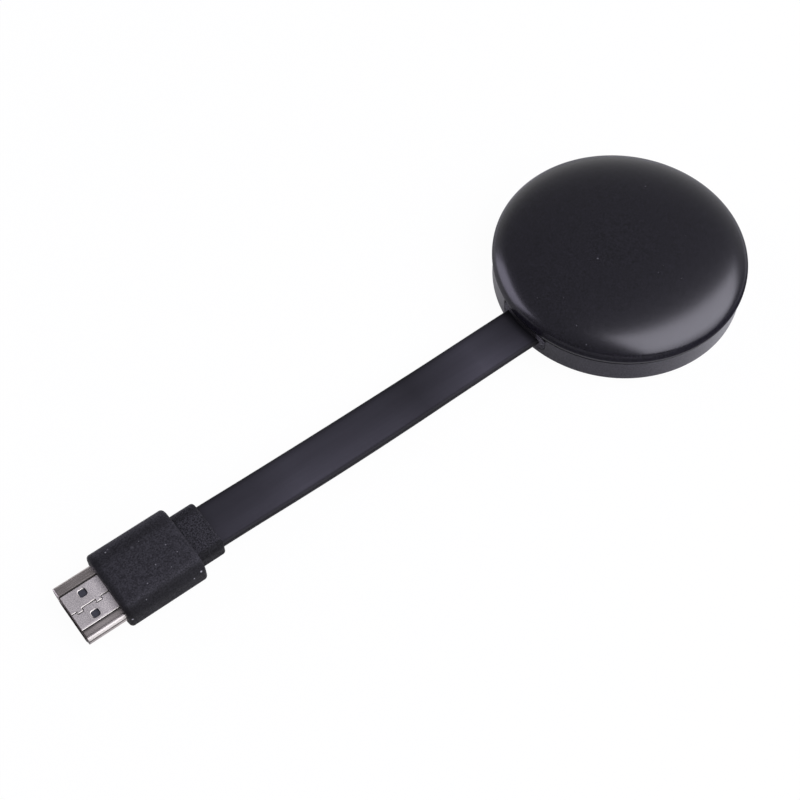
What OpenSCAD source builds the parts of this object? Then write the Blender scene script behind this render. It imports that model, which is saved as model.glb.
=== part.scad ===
// Wireless display dongle: a round puck, a short flat cable and an HDMI type A plug.
// Millimetres, +Z up. The origin is the centre of the puck's underside, the cable runs along -X,
// and the micro USB port, the reset button and the status light are on the +X side of the rim.

/* [Puck] */
// Diameter of the lid, the widest part of the puck
puck_d = 56.8; // [55:0.2:61]
// Height of the puck from its underside to the top of the lid
puck_h = 13.4; // [13:0.1:14.4]
// Height of the parting line between base and lid
seam_z = 6.5; // [6.5:0.1:7]
// Open gap along the parting line
seam_gap = 0.2; // [0.1:0.05:0.3]
// Distance that the base wall stands back from the lid
base_inset = 0.4; // [0.2:0.05:0.5]
// Straight skirt of the lid above the parting line
skirt_h = 0.95; // [0.7:0.05:1.2]
// Wall of the lid
lid_wall = 1.5; // [1.3:0.1:1.6]
// Wall of the base
base_wall = 1.5; // [1.4:0.1:1.6]
// Floor of the base
floor_t = 1.5; // [1.2:0.1:1.6]
// Radius of the lower outside edge of the base
base_edge_r = 1; // [0.6:0.1:1.4]

/* [Board] */
// Height of the three bosses that carry the board
boss_h = 3; // [2.9:0.05:3.2]
// Diameter of a boss
boss_d = 4.4; // [4:0.1:5]
// Distance of the bosses from the centre of the puck
boss_place_r = 19.5; // [19.2:0.1:20]
// Thickness of the board
board_t = 1; // [0.8:0.1:1.2]
// Gap between the edge of the board and the base wall
board_gap = 1.25; // [1:0.05:1.5]

/* [Chips] */
// Side of the square processor
chip_side = 14; // [12:0.5:14]
// Thickness of the processor
chip_t = 1.2; // [1:0.1:1.4]
// Thickness of the thermal pad on the processor
pad_t = 0.8; // [0.6:0.1:1]
// Thickness of the aluminium heat spreader
spreader_t = 0.8; // [0.6:0.1:1]
// Radius of the heat spreader's plate
spreader_r = 16.5; // [16:0.1:16.7]

/* [Micro USB port] */
// Width of the metal shell
usb_w = 7.5; // [7.3:0.1:7.9]
// Height of the metal shell
usb_h = 2.5; // [2.4:0.05:2.6]
// Depth of the metal shell
usb_l = 5.6; // [5:0.1:6.2]

/* [Reset button] */
// Angle of the button on the rim, from +X towards +Y
button_angle = 35; // [33:1:38]
// Diameter of the button's face
button_d = 2.4; // [2:0.1:2.5]
// Height of the button's face over the rim
button_proud = 0.15; // [0.1:0.05:0.2]
// Travel of the button
button_travel = 0.35; // [0.2:0.05:0.4]

/* [Status light] */
// Angle of the light on the rim, from +X towards -Y
light_angle = 35; // [33:1:38]
// Diameter of the light pipe
light_d = 1.5; // [1.2:0.1:1.6]

/* [Cable] */
// Width of the flat cable
cable_w = 10.6; // [10.2:0.1:10.8]
// Thickness of the flat cable
cable_t = 1.6; // [1.5:0.1:1.8]
// Depth that the plug's neck grips the cable
cable_grip = 3; // [2.6:0.1:3.4]
// Diameter of one core of the cable
core_d = 1; // [0.8:0.05:1.05]

/* [Cable exit] */
// Width of the grommet where the cable leaves the puck
grommet_w = 13.8; // [13:0.1:14.6]
// Height of the grommet
grommet_h = 4.4; // [4:0.1:4.6]
// Radius of the grommet's corners
grommet_r = 1.9; // [1.5:0.1:1.9]
// Distance from the inside of the base wall to the end of the cable's jacket
cable_inside = 2.5; // [2.3:0.1:3]

/* [Plug] */
// Length of the plug's housing
plug_l = 17.9; // [17.5:0.1:20]
// Width of the plug's housing
plug_w = 16.8; // [16.6:0.1:18.5]
// Height of the plug's housing
plug_h = 8.4; // [8:0.1:9.4]
// Radius of the housing's long edges
plug_r = 3.2; // [2.6:0.1:3.6]
// Length of the neck that stands out of the housing
neck_l = 5.8; // [5:0.1:6.4]
// Width of the neck
neck_w = 12.2; // [12:0.1:13]
// Height of the neck
neck_h = 5.3; // [5:0.1:5.5]

/* [HDMI connector] */
// Width of the plug's metal shell
hdmi_w = 13.9; // [13.8:0.05:14]
// Height of the plug's metal shell
hdmi_h = 4.45; // [4.4:0.05:4.5]
// Length of the shell that stands out of the housing
hdmi_l = 8.6; // [8.4:0.1:9.4]
// Thickness of the shell's sheet
sheet_t = 0.35; // [0.3:0.05:0.4]
// Distance that the connector's middle lies under the middle of the housing
connector_drop = 1; // [0.7:0.1:1]
// Distance between neighbouring contacts of one row
contact_pitch = 1; // [0.96:0.02:1.02]

/* [Hidden] */

// Resolution of bores and rims, and number of steps in a rounded corner of an outline
$fn = 96;
corner_steps = 5;
// Overrun of every cut through a face
cut = 0.5;
// Clearance between fixed pieces that fit into each other
fit_gap = 0.04;

// Route of the cable's centre line from the puck's rim to the inside of the neck, [x, z].
// It leaves the grommet level, dips a little between its two ends and meets the neck level.
cable_route = [
    [-29, 4], [-32, 3.97], [-36, 3.9], [-41, 3.79], [-47, 3.64], [-53, 3.5],
    [-60, 3.38], [-67, 3.31], [-74, 3.31], [-81, 3.38], [-87, 3.5], [-93, 3.67],
    [-98, 3.85], [-102, 4], [-106, 4.13], [-109, 4.2], [-112.5, 4.2]
];

// Puck: radii and heights that the covers share
puck_r = puck_d / 2;
base_r = puck_r - base_inset;
inner_r = base_r - base_wall;
dome_z = seam_z + skirt_h;
// Exponents of the dome's curve: the first shapes the crown, the second the soft edge
dome_power_share = 2.1;
dome_soft_share = 3.1;
dome_steps = 26;
// Exponent that crowds the steps towards the soft edge
dome_crowd_share = 1.5;
// Thin tongue of the base that the lid's rebate slides over
tongue_t = 0.7;
tongue_h = 1.2;
tongue_gap = 0.1;
tongue_r = inner_r + tongue_t;
tongue_z = seam_z + tongue_h;
rebate_r = tongue_r + tongue_gap;
edge_chamfer = 0.15;
// Barbs on the tongue that snap into pockets of the lid
barb_angles = [30, 150, 270];
barb_sweep = 12;
barb_h = 0.6;
barb_out = 0.25;
barb_drop = 0.35;

// Board and what stands on it
board_z = floor_t + boss_h;
board_top = board_z + board_t;
board_r = inner_r - board_gap;
boss_angles = [100, 220, 340];
pilot_d = 1.6;
screw_gap = 0.1;
screw_hole_d = pilot_d + 2 * screw_gap;
rib_t = 0.8;
rib_h_share = 0.6;
board_cut_l = 2.5;
screw_d = pilot_d - 2 * fit_gap;
screw_l = 4.2;
screw_head_d = 2.6;
screw_head_h = 0.9;
drive_d = 1;
drive_depth = 0.5;
foot_t = 0.6;
foot_l = boss_d;
foot_out = 1.9;
leg_t = spreader_t;

// Small parts of the board, [width, depth, height] and places [x, y]
chip_gap = 1.2;
memory_size = [11, 7.6, 1];
flash_size = [11.5, 13, 1];
flash_place = [-2, 0];
power_chip_size = [5, 5, 0.9];
power_chip_place = [-12, -4.6];
can_size = [10.6, 12, 1.7];
can_shift = 2.6;
can_place = [chip_side / 2 + chip_gap + can_size[0] / 2, can_shift];
can_sheet = 0.2;
crystal_size = [3.2, 2.5, 0.8];
crystal_place = [can_place[0] - can_size[0] / 2 + crystal_size[0] / 2 + chip_gap,
                 can_place[1] - can_size[1] / 2 - crystal_size[1] / 2 - chip_gap];
inductor_size = [4, 4, 1.7];
inductor_places = [[-12.6, 7], [-12.6, 1.6]];
inductor_core_d = 3;
cap_size = [0.8, 1.6, 0.8];
cap_pitch = 2;
cap_column_x = -8.7;
cap_row_y = -17.6;
cap_count = 6;
pad_side = 12;
socket_angle = 55;
socket_from_wall = 8.6;
socket_place = (inner_r - socket_from_wall) * [cos(socket_angle), sin(socket_angle)];
socket_d = 2;
socket_h = 1.1;
socket_base = [2.6, 2.6, 0.3];
strip_t = 0.25;
strip_angles = [46, 80];
strip_rise = 1.8;
strip_bottom = floor_t + strip_rise;
strip_top_gap = 0.6;
strip_top = tongue_z - strip_top_gap;
// Coaxial lead: it runs level from the strip to the socket in a shallow bow
lead_d = 1.1;
lead_angle = 59;
lead_bow = 0.3;
lead_steps = 6;
lead_lift = 0.05;
lead_strip_gap = 0.2;
lead_socket_gap = 0.2;
lead_shift = 0.3;

// Ports on the rim share one height
port_z = board_z - usb_h / 2;
usb_sheet = 0.3;
usb_recess = 0.75;
usb_mouth_x = base_r - usb_recess;
usb_r = 0.5;
usb_slope = 0.9;
usb_slope_share = sqrt(2) - 1;
usb_hole_gap = 0.3;
usb_tongue_w = 4;
usb_tongue_t = 0.6;
usb_tongue_l = 3.4;
usb_contact_w = 0.35;
usb_contact_t = 0.12;
usb_contact_pitch = 0.65;
usb_contact_count = 5;

// Button, from the outside inwards
button_gap = 0.1;
flange_extra = 0.45;
flange_t = 0.5;
flange_gap = 0.3;
button_face_r = base_r + button_proud;
flange_face_r = inner_r - flange_gap;
flange_back_r = flange_face_r - flange_t;
plunger_d = 1.2;
plunger_l = 2.55;
switch_gap = 1.25;
switch_l = 3.5;
switch_w = 4.7;
switch_h = 2.2;
switch_face_r = flange_back_r - switch_gap;
switch_bore_l = plunger_l - switch_gap + button_travel + button_gap;

// Status light, from the outside inwards
pipe_l = 3.9;
pipe_collar_d = 2.2;
pipe_collar_t = 0.6;
pipe_recess = 0.05;
led_size = [1.2, 2, 1.9];
led_gap = 0.1;

// Cable exit
cable_start_x = cable_inside - inner_r;
cable_exit_z = cable_route[0][1];
cable_points = concat([[cable_start_x, cable_exit_z]],
                      [for (p = cable_route) if (p[0] < cable_start_x) p]);
cable_edge_r = 0.65;
grommet_z = seam_z - seam_gap - grommet_h / 2;
grommet_gap = 0.12;
flange_side = 1.3;
flange_w = grommet_w + 2 * flange_side;
board_cut_gap = 0.3;
board_cut_w = flange_w + 2 * board_cut_gap;
flange_inner_x = cable_start_x - fit_gap;
core_count = 9;
core_pitch = 1.12;
core_tail_l = 5;

// Plug, measured from the mouth of its shell towards the puck
neck_x = cable_route[len(cable_route) - 1][0] + cable_grip;
plug_z = plug_h / 2;
plug_rear_x = neck_x - neck_l;
plug_front_x = plug_rear_x - plug_l;
mouth_x = plug_front_x - hdmi_l;
plug_edge_r = 0.8;
neck_r = 1.7;
neck_edge_r = 0.7;
plug_front_t = 1.4;
plug_rear_t = 1.5;
neck_flange_t = 1.3;
neck_flange_side = 0.6;
neck_flange_rise = 0.2;
neck_flange_w = neck_w + 2 * neck_flange_side;
neck_flange_h = neck_h + 2 * neck_flange_rise;
neck_flange_x = plug_rear_x - plug_rear_t - neck_flange_t;
connector_z = plug_z - connector_drop;

// Section of the metal shell: a wide top with a raised middle and a narrower lower half
shell_inner_l = 6.2;
shell_l = hdmi_l + shell_inner_l;
panel_w = 9.16;
panel_step = 0.1;
panel_run = 0.12;
strip_fall = 0.16;
shell_wall_h = 2.35;
shell_narrow_w = 10.7;
fold_angle = 35;
fold_share = tan(45 - fold_angle / 2);
shell_r = 0.6;
fold_r = 0.5;
window_side = 1.6;
window_r = 0.35;
window_from_mouth = 4.4;
window_from_middle = 2.53;
seam_w = 0.09;
lump_places = [1.85, 6.2];
lump_neck = 1.1;
lump_head = 1.5;
lump_depth = 0.75;
lump_r = 0.25;

// Rear can, insulator and contacts inside the plug
mould_gap = 0.2;
can_t = 0.2;
can_side_gap = 0.1;
rear_can_l = 11.7;
rear_can_start = hdmi_l + plug_front_t + mould_gap;
insulator_start = 1;
insulator_l = 13.2;
insulator_end_x = mouth_x + insulator_start + insulator_l;
slot_l = 7;
slot_w = 11.4;
slot_h = 1.5;
slot_z = 0.3;
channel_w = 0.62;
channel_h = 0.35;
contact_w = 0.46;
contact_t = 0.2;
contact_dip = 0.35;
contact_tip = 1.6;
contact_bend = 3;
contact_rise = 6.5;
tail_l = 1.4;
upper_count = 10;
lower_count = 9;
mould_front_x = insulator_end_x + tail_l + mould_gap;

// Line of the plug's cores, [x, z]: level in the neck, then down to the middle of the connector
core_line = [
    [neck_x - cable_grip, plug_z], [neck_flange_x, plug_z],
    [mould_front_x, connector_z], [insulator_end_x + mould_gap, connector_z]
];

// Outlines

function unit(v) = v / norm(v);
function plain(p) = [p[0], p[1]];

// One corner of an outline as an arc of radius r, from the side of a to the side of c
function corner(a, b, c, r) =
    let (u = unit(a - b), v = unit(c - b), half = acos(u * v) / 2,
         from = u * r / tan(half), to = v * r / tan(half),
         centre = unit(u + v) * r / sin(half))
    r == 0 ? [b] : [for (i = [0:corner_steps])
        let (s = i / corner_steps)
        b + centre + r * unit((from - centre) * (1 - s) + (to - centre) * s)];

// Outline through the points [x, y, radius]
function rounded(p) =
    let (n = len(p))
    [for (i = [0:n - 1]) each
        corner(plain(p[(i + n - 1) % n]), plain(p[i]), plain(p[(i + 1) % n]), p[i][2])];

function rounded_box(w, h, r) =
    rounded([[w / 2, h / 2, r], [-w / 2, h / 2, r], [-w / 2, -h / 2, r], [w / 2, -h / 2, r]]);

function moved(outline, dy, dz) = [for (p = outline) p + [dy, dz]];

// Prism of a [y, z] outline between two places on X
module prism_x(x0, x1, outline) {
    translate([x0, 0, 0])
        rotate([90, 0, 90])
            linear_extrude(x1 - x0)
                polygon(outline);
}

// Solid through outlines [y, z] that stand at rising places on X
module loft_x(places, outlines) {
    n = len(outlines[0]);
    last = len(places) - 1;
    polyhedron(
        points = [for (i = [0:last]) for (p = outlines[i]) [places[i], p[0], p[1]]],
        faces = concat(
            [[for (j = [0:n - 1]) j]],
            [[for (j = [n - 1:-1:0]) last * n + j]],
            [for (i = [0:last - 1]) for (j = [0:n - 1])
                [i * n + j, (i + 1) * n + j, (i + 1) * n + (j + 1) % n]],
            [for (i = [0:last - 1]) for (j = [0:n - 1])
                [i * n + j, (i + 1) * n + (j + 1) % n, i * n + (j + 1) % n]]),
        convexity = 4);
}

// Rounded block along X whose end edges are rounded by edge_r
module soft_block(x0, x1, w, h, r, edge_r, z) {
    insets = [for (a = [90:-30:0]) edge_r * (1 - cos(a))];
    runs = [for (a = [90:-30:0]) edge_r * (1 - sin(a))];
    last = len(insets) - 1;
    places = concat([for (i = [0:last]) x0 + runs[i]], [for (i = [last:-1:0]) x1 - runs[i]]);
    shrink = concat(insets, [for (i = [last:-1:0]) insets[i]]);
    loft_x(places, [for (e = shrink) moved(rounded_box(w - 2 * e, h - 2 * e, r - e), 0, z)]);
}

// Cylinder along the radius of the puck at an angle, from radius r0 to r1 at height z
module radial_pin(angle, r0, r1, d, z) {
    rotate([0, 0, angle])
        translate([r0, 0, z])
            rotate([0, 90, 0])
                cylinder(h = r1 - r0, d = d, $fn = 48);
}

// Box that stands on z, centred on [x, y]
module block_on(place, size, z) {
    translate([place[0] - size[0] / 2, place[1] - size[1] / 2, z])
        cube(size);
}

// Box that hangs under z, centred on [x, y]
module block_under(place, size, z) {
    block_on(place, size, z - size[2]);
}

// Places of a row of n pieces around zero
function row(n, pitch) = [for (i = [0:n - 1]) (i - (n - 1) / 2) * pitch];

// Lid: crowned dome with one soft edge, its inside follows the outside at the wall's distance

function dome_point(s) =
    let (a = 90 * pow(s, dome_crowd_share))
    [puck_r * pow(cos(a), 2 / dome_power_share),
     dome_z + (puck_h - dome_z) * pow(sin(a), 2 / dome_soft_share)];

dome = [for (i = [0:dome_steps - 1]) dome_point(i / dome_steps)];

function dome_normal(i) =
    i == 0 ? [1, 0]
    : let (t = dome[min(i + 1, dome_steps - 1)] - dome[i - 1]) unit([t[1], -t[0]]);

// The inside ends on the ledge that the tongue meets
dome_inside = [for (i = [dome_steps - 1:-1:0])
    let (p = dome[i] - lid_wall * dome_normal(i))
    if (p[1] > tongue_z + fit_gap) p];

module barb(angle, grow) {
    mid_z = tongue_z - barb_drop - barb_h / 2;
    half = barb_h / 2 + grow;
    rotate([0, 0, angle - barb_sweep / 2 - grow])
        rotate_extrude(angle = barb_sweep + 2 * grow)
            polygon([
                [tongue_r - tongue_t / 2, mid_z - half],
                [tongue_r, mid_z - half],
                [tongue_r + barb_out + grow, mid_z + half / 3],
                [tongue_r, mid_z + half],
                [tongue_r - tongue_t / 2, mid_z + half]
            ]);
}

module top_cover() {
    color([0.09, 0.09, 0.1])
    difference() {
        rotate_extrude()
            polygon(concat(
                [[puck_r - edge_chamfer, seam_z], [puck_r, seam_z + edge_chamfer]],
                dome,
                [[0, puck_h], [0, puck_h - lid_wall]],
                dome_inside,
                [[puck_r - lid_wall, tongue_z], [rebate_r, tongue_z], [rebate_r, seam_z]]));
        for (a = barb_angles)
            barb(a, tongue_gap);
    }
}

// Base: shallow dish with a tongue, three screw bosses and the openings of its rim

function base_edge(a) =
    [base_r - base_edge_r + base_edge_r * sin(a), base_edge_r - base_edge_r * cos(a)];

module boss(angle) {
    rotate([0, 0, angle]) {
        translate([boss_place_r, 0, floor_t - fit_gap])
            cylinder(h = boss_h + fit_gap, d = boss_d, $fn = 48);
        translate([boss_place_r + pilot_d, -rib_t / 2, floor_t - fit_gap])
            cube([inner_r - boss_place_r - pilot_d + base_wall / 2, rib_t,
                  boss_h * rib_h_share]);
    }
}

module base_cover() {
    color([0.16, 0.16, 0.17])
    difference() {
        union() {
            rotate_extrude()
                polygon(concat(
                    [[0, 0]],
                    [for (a = [0:15:90]) base_edge(a)],
                    [[base_r, seam_z - seam_gap - edge_chamfer],
                     [base_r - edge_chamfer, seam_z - seam_gap],
                     [tongue_r, seam_z - seam_gap], [tongue_r, tongue_z],
                     [inner_r, tongue_z], [inner_r, floor_t], [0, floor_t]]));
            for (a = boss_angles)
                boss(a);
            for (a = barb_angles)
                barb(a, 0);
        }
        for (a = boss_angles)
            rotate([0, 0, a])
                translate([boss_place_r, 0, floor_t])
                    cylinder(h = boss_h + cut, d = pilot_d, $fn = 48);
        prism_x(-base_r - cut, cable_start_x, grommet_notch());
        prism_x(usb_mouth_x - usb_l / 2, base_r + cut,
            moved(rounded_box(usb_w + 2 * usb_hole_gap, usb_h + 2 * usb_hole_gap,
                              usb_r + usb_hole_gap), 0, port_z));
        radial_pin(button_angle, inner_r - cut, base_r + cut, button_d + 2 * button_gap, port_z);
        radial_pin(-light_angle, inner_r - cut, base_r + cut, light_d + 2 * fit_gap, port_z);
    }
}

// Grommet: fills the notch of the rim around the cable, with a flange behind the wall

// The notch is open at the top, where the lid closes it
function grommet_notch() =
    let (w = grommet_w / 2 + grommet_gap, low = grommet_z - grommet_h / 2 - grommet_gap,
         high = tongue_z + cut)
    rounded([[w, high, 0], [-w, high, 0], [-w, low, grommet_r], [w, low, grommet_r]]);

function cable_outline(gap) =
    rounded_box(cable_w + 2 * gap, cable_t + 2 * gap, cable_edge_r + gap);

module cable_grommet() {
    flange_h = seam_z - seam_gap - floor_t - fit_gap;
    flange_z = floor_t + fit_gap + flange_h / 2;
    color([0.2, 0.2, 0.21])
    difference() {
        union() {
            intersection() {
                prism_x(-base_r - cut, cable_start_x - fit_gap,
                    moved(rounded_box(grommet_w, grommet_h, grommet_r), 0, grommet_z));
                cylinder(h = puck_h, r = base_r);
            }
            intersection() {
                prism_x(-inner_r - cut, flange_inner_x,
                    moved(rounded_box(flange_w, flange_h, grommet_r), 0, flange_z));
                cylinder(h = puck_h, r = inner_r - fit_gap);
            }
        }
        prism_x(-base_r - cut, cable_start_x + cut,
            moved(cable_outline(fit_gap), 0, cable_exit_z));
    }
}

// Board assembly

module main_board() {
    color([0.05, 0.3, 0.16])
    difference() {
        translate([0, 0, board_z])
            cylinder(h = board_t, r = board_r);
        translate([-board_r - cut, -board_cut_w / 2, board_z - cut])
            cube([board_r + cut + cable_start_x + board_cut_l, board_cut_w, board_t + 2 * cut]);
        for (a = boss_angles)
            rotate([0, 0, a])
                translate([boss_place_r, 0, board_z - cut])
                    cylinder(h = board_t + 2 * cut, d = screw_hole_d, $fn = 48);
    }
}

module processor_chip() {
    color([0.12, 0.12, 0.13])
        block_on([0, 0], [chip_side, chip_side, chip_t], board_top);
}

module memory_chips() {
    offset_y = chip_side / 2 + chip_gap + memory_size[1] / 2;
    color([0.1, 0.1, 0.11])
        for (side = [-1, 1])
            block_on([0, side * offset_y], memory_size, board_top);
}

module flash_chip() {
    color([0.1, 0.1, 0.11])
        block_under(flash_place, flash_size, board_z);
}

module power_chip() {
    color([0.1, 0.1, 0.11])
        block_on(power_chip_place, power_chip_size, board_top);
}

// Drawn can: five thin walls, open towards the board
module wifi_shield_can() {
    inside = can_size - [2 * can_sheet, 2 * can_sheet, can_sheet];
    color([0.75, 0.75, 0.73])
    difference() {
        block_on(can_place, can_size, board_top);
        block_on(can_place, inside + [0, 0, cut], board_top - cut);
    }
}

module clock_crystal() {
    color([0.78, 0.76, 0.7])
        block_on(crystal_place, crystal_size, board_top);
}

module power_inductors() {
    color([0.3, 0.3, 0.31])
        for (p = inductor_places) {
            block_on(p, [inductor_size[0], inductor_size[1], inductor_size[2] / 2], board_top);
            translate([p[0], p[1], board_top])
                cylinder(h = inductor_size[2], d = inductor_core_d, $fn = 32);
        }
}

module board_capacitors() {
    color([0.62, 0.5, 0.36]) {
        for (y = row(cap_count, cap_pitch))
            block_on([cap_column_x, y], cap_size, board_top);
        for (x = row(cap_count, cap_pitch))
            block_on([x, cap_row_y], cap_size, board_top);
    }
}

module thermal_pad() {
    color([0.5, 0.6, 0.72])
        block_on([0, 0], [pad_side, pad_side, pad_t], board_top + chip_t);
}

// Stamped plate on the pad, with three legs whose feet are screwed down with the board
module heat_spreader() {
    plate_z = board_top + chip_t + pad_t;
    foot_r = boss_place_r + foot_out;
    leg_r = boss_place_r - foot_l / 2;
    color([0.8, 0.81, 0.83])
    difference() {
        union() {
            translate([0, 0, plate_z])
                cylinder(h = spreader_t, r = spreader_r);
            for (a = boss_angles)
                rotate([0, 0, a])
                    rotate([90, 0, 0])
                        translate([0, 0, -foot_l / 2])
                            linear_extrude(foot_l)
                                polygon([
                                    [foot_r, board_top], [foot_r, board_top + foot_t],
                                    [leg_r + leg_t, board_top + foot_t],
                                    [leg_r + leg_t, plate_z + spreader_t],
                                    [leg_r - 2 * leg_t, plate_z + spreader_t],
                                    [leg_r - 2 * leg_t, plate_z], [leg_r, plate_z],
                                    [leg_r, board_top]
                                ]);
        }
        for (a = boss_angles)
            rotate([0, 0, a])
                translate([boss_place_r, 0, board_top - cut])
                    cylinder(h = foot_t + 2 * cut, d = screw_hole_d, $fn = 48);
    }
}

module board_screws() {
    head_z = board_top + foot_t;
    color([0.7, 0.7, 0.72])
        for (a = boss_angles)
            rotate([0, 0, a])
                translate([boss_place_r, 0, head_z])
                    difference() {
                        union() {
                            cylinder(h = screw_head_h, d = screw_head_d, $fn = 48);
                            translate([0, 0, -screw_l])
                                cylinder(h = screw_l + screw_head_h / 2, d = screw_d, $fn = 48);
                        }
                        translate([0, 0, screw_head_h - drive_depth])
                            cylinder(h = drive_depth + cut, d = drive_d, $fn = 6);
                    }
}

// Antenna: foil strip on the inside of the rim, its coaxial lead and the socket on the board

module antenna_strip() {
    sweep = strip_angles[1] - strip_angles[0];
    color([0.72, 0.5, 0.2])
        rotate([0, 0, strip_angles[0]])
            rotate_extrude(angle = sweep)
                polygon([
                    [inner_r - strip_t, strip_bottom], [inner_r, strip_bottom],
                    [inner_r, strip_top], [inner_r - strip_t, strip_top]
                ]);
}

// Tube of 8 sides through a route's points
module wire(route, d) {
    last = len(route) - 1;
    sides = 8;
    rings = [for (i = [0:last])
        let (t = unit(route[min(i + 1, last)] - route[max(i - 1, 0)]),
             side = unit([-t[1], t[0], 0]), up = cross(t, side))
        for (j = [0:sides - 1])
            let (a = (j + 1 / 2) * 360 / sides)
            route[i] + d / 2 * (cos(a) * side + sin(a) * up)];
    polyhedron(
        points = rings,
        faces = concat(
            [[for (j = [0:sides - 1]) j]],
            [[for (j = [sides - 1:-1:0]) last * sides + j]],
            [for (i = [0:last - 1]) for (j = [0:sides - 1])
                [i * sides + j, (i + 1) * sides + j, (i + 1) * sides + (j + 1) % sides]],
            [for (i = [0:last - 1]) for (j = [0:sides - 1])
                [i * sides + j, (i + 1) * sides + (j + 1) % sides, i * sides + (j + 1) % sides]]),
        convexity = 4);
}

module antenna_lead() {
    from = (inner_r - strip_t - lead_strip_gap) * [cos(lead_angle), sin(lead_angle)];
    to = socket_place + [lead_shift, socket_base[1] / 2 + lead_socket_gap];
    across = unit([from[1] - to[1], to[0] - from[0]]);
    z = board_top + lead_lift + lead_d / 2;
    color([0.15, 0.15, 0.16])
        wire([for (i = [0:lead_steps])
            let (s = i / lead_steps, p = from * (1 - s) + to * s + across * lead_bow * 4 * s * (1 - s))
            [p[0], p[1], z]], lead_d);
}

module antenna_socket() {
    color([0.85, 0.7, 0.35]) {
        block_on(socket_place, socket_base, board_top);
        translate([socket_place[0], socket_place[1], board_top])
            cylinder(h = socket_h, d = socket_d, $fn = 32);
    }
}

// Micro USB port: it hangs under the board with its mouth in the rim

function usb_outline(inset) =
    let (w = usb_w / 2 - inset, h = usb_h / 2 - inset, s = usb_slope - inset * usb_slope_share,
         r = usb_r - inset)
    rounded([[w, h, r], [-w, h, r], [-w, -h + s, r], [-w + s, -h, r], [w - s, -h, r],
             [w, -h + s, r]]);

module usb_shell() {
    rear_x = usb_mouth_x - usb_l;
    color([0.78, 0.78, 0.76])
    difference() {
        prism_x(rear_x, usb_mouth_x, moved(usb_outline(0), 0, port_z));
        prism_x(rear_x - cut, usb_mouth_x + cut, moved(usb_outline(usb_sheet), 0, port_z));
    }
}

module usb_insulator() {
    rear_x = usb_mouth_x - usb_l;
    block_l = usb_l - usb_tongue_l - 2 * usb_sheet;
    color([0.06, 0.06, 0.07])
    difference() {
        union() {
            prism_x(rear_x, rear_x + block_l,
                moved(usb_outline(usb_sheet + fit_gap), 0, port_z));
            translate([rear_x, -usb_tongue_w / 2, port_z - usb_tongue_t / 2])
                cube([block_l + usb_tongue_l, usb_tongue_w, usb_tongue_t]);
        }
        for (y = row(usb_contact_count, usb_contact_pitch))
            translate([rear_x - cut, y - usb_contact_w / 2 - fit_gap,
                       port_z - usb_tongue_t / 2 - cut])
                cube([block_l + usb_tongue_l - usb_sheet + cut,
                      usb_contact_w + 2 * fit_gap, cut + usb_contact_t]);
    }
}

module usb_contacts() {
    rear_x = usb_mouth_x - usb_l;
    low_z = port_z - usb_tongue_t / 2;
    tail_l = 3 * usb_contact_w;
    color([0.85, 0.68, 0.3])
        for (y = row(usb_contact_count, usb_contact_pitch)) {
            translate([rear_x - tail_l, y - usb_contact_w / 2, low_z])
                cube([usb_l - usb_sheet * 4 + tail_l, usb_contact_w, usb_contact_t]);
            translate([rear_x - tail_l, y - usb_contact_w / 2, low_z])
                cube([usb_contact_t, usb_contact_w, board_z - low_z]);
        }
}

// Reset button: the cap and the switch's plunger move together along the radius

module button_cap() {
    color([0.1, 0.1, 0.11]) {
        radial_pin(button_angle, flange_back_r, button_face_r, button_d, port_z);
        radial_pin(button_angle, flange_back_r, flange_face_r, button_d + 2 * flange_extra,
                   port_z);
    }
}

module switch_plunger() {
    color([0.8, 0.78, 0.7])
        radial_pin(button_angle, flange_back_r - plunger_l, flange_back_r, plunger_d, port_z);
}

module switch_housing() {
    color([0.2, 0.2, 0.21])
    difference() {
        rotate([0, 0, button_angle])
            translate([switch_face_r - switch_l, -switch_w / 2, board_z - switch_h])
                cube([switch_l, switch_w, switch_h]);
        radial_pin(button_angle, switch_face_r - switch_bore_l, switch_face_r + cut,
                   plunger_d + 2 * button_gap, port_z);
    }
}

// Status light: a lamp under the board and a clear pipe pressed into the rim

module light_pipe() {
    face_r = base_r - pipe_recess;
    color([0.85, 0.88, 0.9, 0.6]) {
        radial_pin(-light_angle, face_r - pipe_l, face_r, light_d, port_z);
        radial_pin(-light_angle, inner_r - fit_gap - flange_extra - pipe_collar_t,
                   inner_r - fit_gap - flange_extra / 2, pipe_collar_d, port_z);
    }
}

module status_led() {
    front_r = base_r - pipe_recess - pipe_l - led_gap;
    color([0.95, 0.95, 0.9])
        rotate([0, 0, -light_angle])
            translate([front_r - led_size[0], -led_size[1] / 2, board_z - led_size[2]])
                cube(led_size);
}

// Cable

module cores(x0, x1, z, gap) {
    for (y = row(core_count, core_pitch))
        translate([x0, y, z])
            rotate([0, 90, 0])
                cylinder(h = x1 - x0, d = core_d + 2 * gap, $fn = 24);
}

// Bared cores of the cable, soldered to the underside of the board
module cable_cores() {
    color([0.75, 0.35, 0.25])
        cores(cable_start_x, cable_start_x + core_tail_l, cable_exit_z, 0);
}

module flat_cable() {
    last = len(cable_points) - 1;
    color([0.13, 0.13, 0.14])
        loft_x([for (i = [last:-1:0]) cable_points[i][0]],
               [for (i = [last:-1:0]) moved(flat_section(), 0, cable_points[i][1])]);
}

// Section of the cable as an outline of 12 points
function flat_section() =
    let (w = cable_w / 2, h = cable_t / 2, r = cable_edge_r, d = r * (1 - sqrt(1 / 2)))
    [[w, r - h], [w, h - r], [w - d, h - d], [w - r, h], [r - w, h], [d - w, h - d],
     [-w, h - r], [-w, r - h], [d - w, d - h], [r - w, -h], [w - r, -h], [w - d, d - h]];

// Plug

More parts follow.
